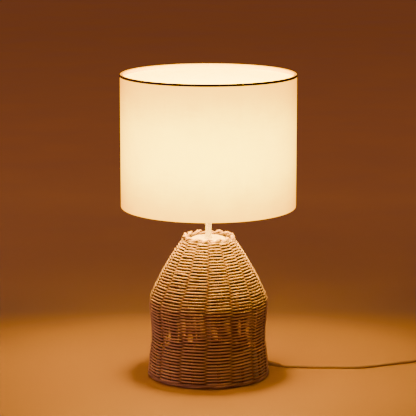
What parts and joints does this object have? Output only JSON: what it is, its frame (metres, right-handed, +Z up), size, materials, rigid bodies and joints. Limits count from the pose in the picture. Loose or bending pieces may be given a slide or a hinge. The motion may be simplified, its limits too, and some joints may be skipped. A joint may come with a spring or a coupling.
{
  "type": "table lamp",
  "caption": "Table lamp with a woven rattan bottle-shaped base, slim stem and drum shade with a dark top trim; screw-in bulb, turning shade, corded switch and coiled mains lead.",
  "frame": {"origin": "on the table surface, on the lamp's own vertical axis, under the middle of the basket and shade", "axes": "+Z up along the stem, -Y to the front, +X to the side where the mains cord leaves"},
  "size_m": [0.751, 0.332, 0.579],
  "materials": {
    "rattan": "natural honey-coloured rattan rods, satin",
    "felt": "dark felt",
    "pan_steel": "pressed steel, plain grey paint",
    "iron": "rough cast iron",
    "zinc": "zinc-plated steel",
    "cream_metal": "cream powder coat",
    "white_plastic": "white moulded plastic",
    "porcelain": "white glazed block",
    "brass": "plain brass",
    "black_glass": "black insulator",
    "opal": "opal frosted dome, lit warm white",
    "linen": "off-white woven fabric, lets light through",
    "liner": "translucent white film",
    "trim": "dark brown tape",
    "white_wire": "white painted wire",
    "white_pvc": "white flexible cord jacket",
    "tie": "off-white hook and loop tie"
  },
  "bodies": {
    "lamp": {"base_felt": "felt", "base_pan": "pan_steel", "base_weight": "iron", "lower_washer": "zinc", "lower_nut": "zinc", "pipe": "zinc", "pipe_nut": "zinc", "basket_wall": "rattan", "basket_foot_border": "rattan", "basket_rim_border": "rattan", "neck_plate": "pan_steel", "neck_nut": "zinc", "neck_cap": "cream_metal", "stem_collar": "cream_metal", "stem": "cream_metal", "holder_cap": "white_plastic", "holder_locknut": "zinc", "terminal_block": "porcelain", "centre_contact": "brass", "screw_contact": "brass", "holder_shell": "white_plastic", "cord_boot": "white_pvc", "cord_inside": "white_pvc", "cord_lead": "white_pvc", "cord_link": "white_pvc", "cord_tail": "white_pvc", "cord_coil": "white_pvc", "coil_tie": "tie", "switch_base": "white_plastic", "switch_cover": "white_plastic", "switch_terminal_1": "brass", "switch_terminal_2": "brass", "plug_body": "white_plastic", "plug_relief": "white_pvc", "plug_pin_1": "zinc", "plug_pin_2": "zinc"},
    "shade": {"shade_fabric": "linen", "shade_liner": "liner", "shade_trim": "trim", "shade_top_wire": "white_wire", "shade_bottom_wire": "white_wire", "shade_fitter": "white_wire", "spider_arm_1": "white_wire", "spider_arm_2": "white_wire", "spider_arm_3": "white_wire"},
    "collar": {"shade_collar": "white_plastic"},
    "bulb": {"bulb_tip": "brass", "bulb_insulator": "black_glass", "bulb_cap": "zinc", "bulb_neck": "white_plastic", "bulb_light_board": "porcelain", "bulb_dome": "opal"},
    "rocker": {"switch_rocker": "white_plastic"}
  },
  "joints": [
    {"name": "shade_turn", "type": "hinge", "parent": "lamp", "child": "shade", "pos_m": [0, 0, 0.3748], "axis": [0, 0, 1], "continuous": true},
    {"name": "collar_turn", "type": "hinge", "parent": "lamp", "child": "collar", "pos_m": [0, 0, 0.38], "axis": [0, 0, 1], "range_deg": [0, 720]},
    {"name": "bulb_screw", "type": "hinge", "parent": "lamp", "child": "bulb", "pos_m": [0, 0, 0.39], "axis": [0, 0, 1], "range_deg": [0, 900]},
    {"name": "switch_rock", "type": "hinge", "parent": "lamp", "child": "rocker", "pos_m": [0.453, 0.0966, 0.013], "axis": [-0.3551, 0.9348, 0], "range_deg": [-16, 0]}
  ]
}
